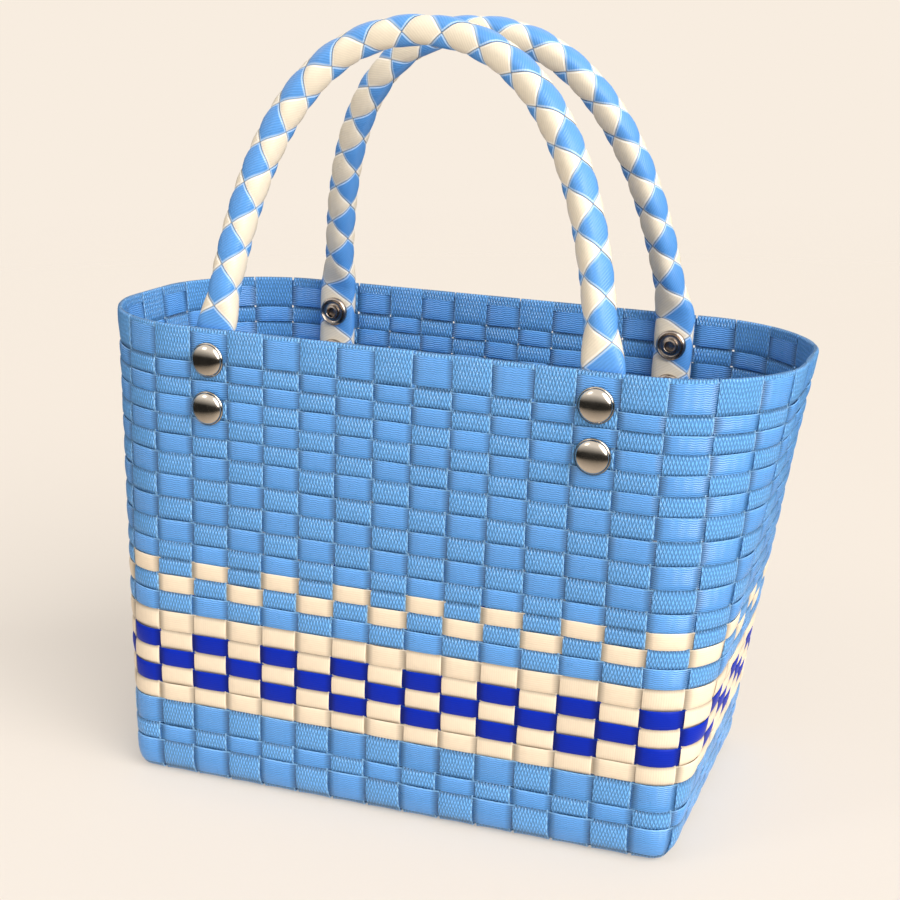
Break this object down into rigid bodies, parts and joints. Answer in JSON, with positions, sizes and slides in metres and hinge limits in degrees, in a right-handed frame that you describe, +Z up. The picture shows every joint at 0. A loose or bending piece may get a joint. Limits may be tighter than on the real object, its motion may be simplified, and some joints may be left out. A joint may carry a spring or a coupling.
{
  "type": "woven tote bag",
  "caption": "Small open tote of flat woven plastic straps, with a flat base, a folded rim and two arched braided handles riveted inside the rim.",
  "frame": {"origin": "middle of the base's footprint under the rim, on the surface the bag stands on", "axes": "+Z up, -Y out of the front wall, +X along the front wall to the right as seen from the front"},
  "size_m": [0.2926, 0.1336, 0.3193],
  "materials": {
    "blue_strap": "satin embossed polypropylene strap, sky blue, with one band of cream straps and two of cream and navy checks",
    "braid": "satin plastic straps, two sky blue and two cream, braided round a core",
    "rivet_metal": "polished dark nickel"
  },
  "bodies": {
    "root": {"woven_basket": "blue_strap", "handle_front": "braid", "handle_back": "braid", "rivet_cap_front_1_upper": "rivet_metal", "rivet_cap_front_1_lower": "rivet_metal", "rivet_cap_front_2_upper": "rivet_metal", "rivet_cap_front_2_lower": "rivet_metal", "rivet_cap_back_1_upper": "rivet_metal", "rivet_cap_back_1_lower": "rivet_metal", "rivet_cap_back_2_upper": "rivet_metal", "rivet_cap_back_2_lower": "rivet_metal", "rivet_socket_front_1_upper": "rivet_metal", "rivet_socket_front_1_lower": "rivet_metal", "rivet_socket_front_2_upper": "rivet_metal", "rivet_socket_front_2_lower": "rivet_metal", "rivet_socket_back_1_upper": "rivet_metal", "rivet_socket_back_1_lower": "rivet_metal", "rivet_socket_back_2_upper": "rivet_metal", "rivet_socket_back_2_lower": "rivet_metal"}
  },
  "joints": []
}
